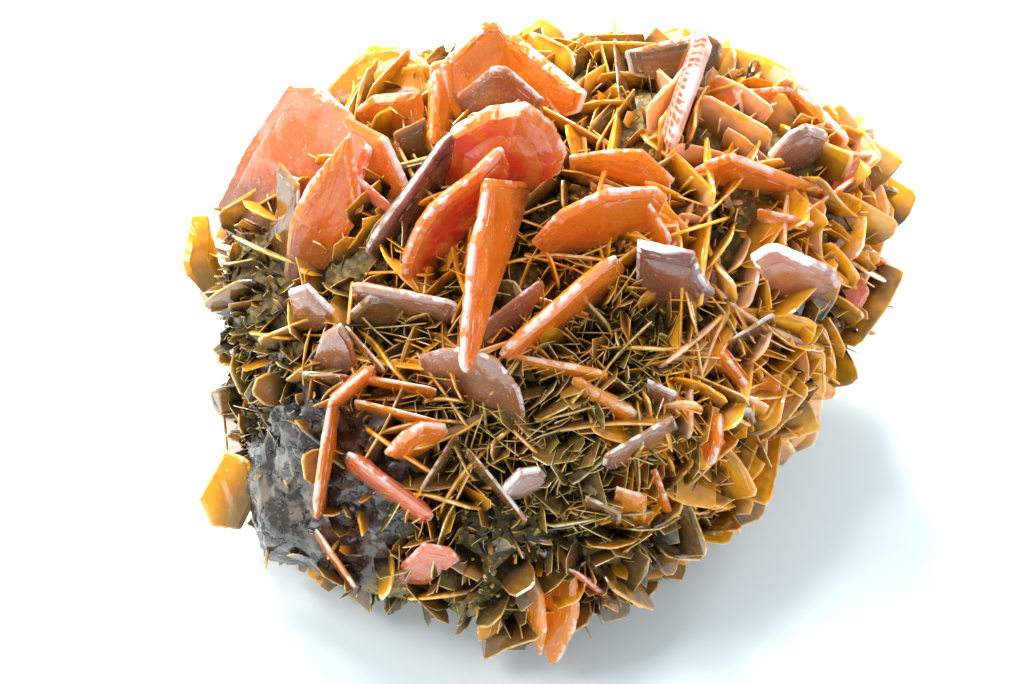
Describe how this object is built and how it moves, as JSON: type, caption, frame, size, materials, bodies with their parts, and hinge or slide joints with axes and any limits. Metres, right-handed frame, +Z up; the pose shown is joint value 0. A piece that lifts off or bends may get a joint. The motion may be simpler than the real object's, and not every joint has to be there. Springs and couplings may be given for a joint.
{
  "type": "mineral specimen, tabular crystals on rock",
  "caption": "Mineral specimen: thin orange to rose tabular crystals standing on a dark lump of rock with a crust of small blades; rests on its flat broken face.",
  "frame": {"origin": "on the flat broken face that the rock rests on, below the middle of the specimen's width", "axes": "+X to the right along the specimen's width and longest extent, +Y away from the viewer, +Z up out of the face it rests on"},
  "size_m": [0.0881, 0.0738, 0.0652],
  "materials": {
    "matrix": "dark olive-brown rock with a crust of small glossy blades",
    "rose_fan": "salmon-pink to rose crystal, frosted faces and pale glossy rims",
    "red_heart": "red-orange crystal, adamantine gloss with whitish sheen on the rims",
    "arch": "orange crystal, glossy with pale pinkish rims",
    "far_left_plate": "yellow crystal, glossy and translucent",
    "back_yellow_plate": "yellow crystal, glossy and translucent",
    "back_orange_plate": "orange crystal, glossy with pale pinkish rims",
    "long_blade": "orange crystal, glossy with pale pinkish rims",
    "violet_plate": "brown-violet frosted crystal with bright rims",
    "golden_terrace": "amber crystal, glossy and slightly translucent",
    "frosted_slab": "brown-violet frosted crystal with bright rims",
    "low_frosted_plate": "brown-violet frosted crystal with bright rims",
    "orange_bow": "orange crystal, glossy with pale pinkish rims",
    "pillar_gable": "salmon-pink to rose crystal, frosted faces and pale glossy rims",
    "orange_face": "orange crystal, glossy with pale pinkish rims",
    "frame_plate": "orange crystal, glossy with pale pinkish rims",
    "right_face": "salmon-pink to rose crystal, frosted faces and pale glossy rims",
    "round_plate": "brown-violet frosted crystal with bright rims",
    "gold_band": "amber crystal, glossy and slightly translucent",
    "orange_band": "orange crystal, glossy with pale pinkish rims",
    "rose_shelf": "salmon-pink to rose crystal, frosted faces and pale glossy rims",
    "flat_blade_steps": "brown-violet frosted crystal with bright rims",
    "lilac_lump": "brown-violet frosted crystal with bright rims",
    "crescents": "orange crystal, glossy with pale pinkish rims",
    "brown_frosted_plate": "brown-violet frosted crystal with bright rims",
    "orange_leaf": "orange crystal, glossy with pale pinkish rims",
    "pink_lath": "salmon-pink to rose crystal, frosted faces and pale glossy rims",
    "left_amber_plate": "amber crystal, glossy and slightly translucent",
    "pinkish_plate": "salmon-pink to rose crystal, frosted faces and pale glossy rims",
    "bright_facet": "brown-violet frosted crystal with bright rims",
    "foot_plates": "amber crystal, glossy and slightly translucent",
    "peach_plate": "yellow crystal, glossy and translucent",
    "striped_plate": "brown-violet frosted crystal with bright rims",
    "beige_plate": "brown-violet frosted crystal with bright rims",
    "tan_plate": "olive-tan crystal, satin",
    "orange_post": "orange crystal, glossy with pale pinkish rims",
    "rim_amber_plates": "amber crystal, glossy and slightly translucent",
    "rim_yellow_plate": "yellow crystal, glossy and translucent",
    "rim_pink_plate": "salmon-pink to rose crystal, frosted faces and pale glossy rims",
    "rim_tip": "orange crystal, glossy with pale pinkish rims"
  },
  "bodies": {
    "root": {"matrix": "matrix", "rose_fan": "rose_fan", "red_heart": "red_heart", "arch": "arch", "far_left_plate": "far_left_plate", "back_yellow_plate": "back_yellow_plate", "back_orange_plate": "back_orange_plate", "long_blade": "long_blade", "violet_plate": "violet_plate", "golden_terrace": "golden_terrace", "frosted_slab": "frosted_slab", "low_frosted_plate": "low_frosted_plate", "orange_bow": "orange_bow", "pillar_gable": "pillar_gable", "orange_face": "orange_face", "frame_plate": "frame_plate", "right_face": "right_face", "round_plate": "round_plate", "gold_band": "gold_band", "orange_band": "orange_band", "rose_shelf": "rose_shelf", "flat_blade_steps": "flat_blade_steps", "lilac_lump": "lilac_lump", "crescents": "crescents", "brown_frosted_plate": "brown_frosted_plate", "orange_leaf": "orange_leaf", "pink_lath": "pink_lath", "left_amber_plate": "left_amber_plate", "pinkish_plate": "pinkish_plate", "bright_facet": "bright_facet", "foot_plates": "foot_plates", "peach_plate": "peach_plate", "striped_plate": "striped_plate", "beige_plate": "beige_plate", "tan_plate": "tan_plate", "orange_post": "orange_post", "rim_amber_plates": "rim_amber_plates", "rim_yellow_plate": "rim_yellow_plate", "rim_pink_plate": "rim_pink_plate", "rim_tip": "rim_tip"}
  },
  "joints": []
}
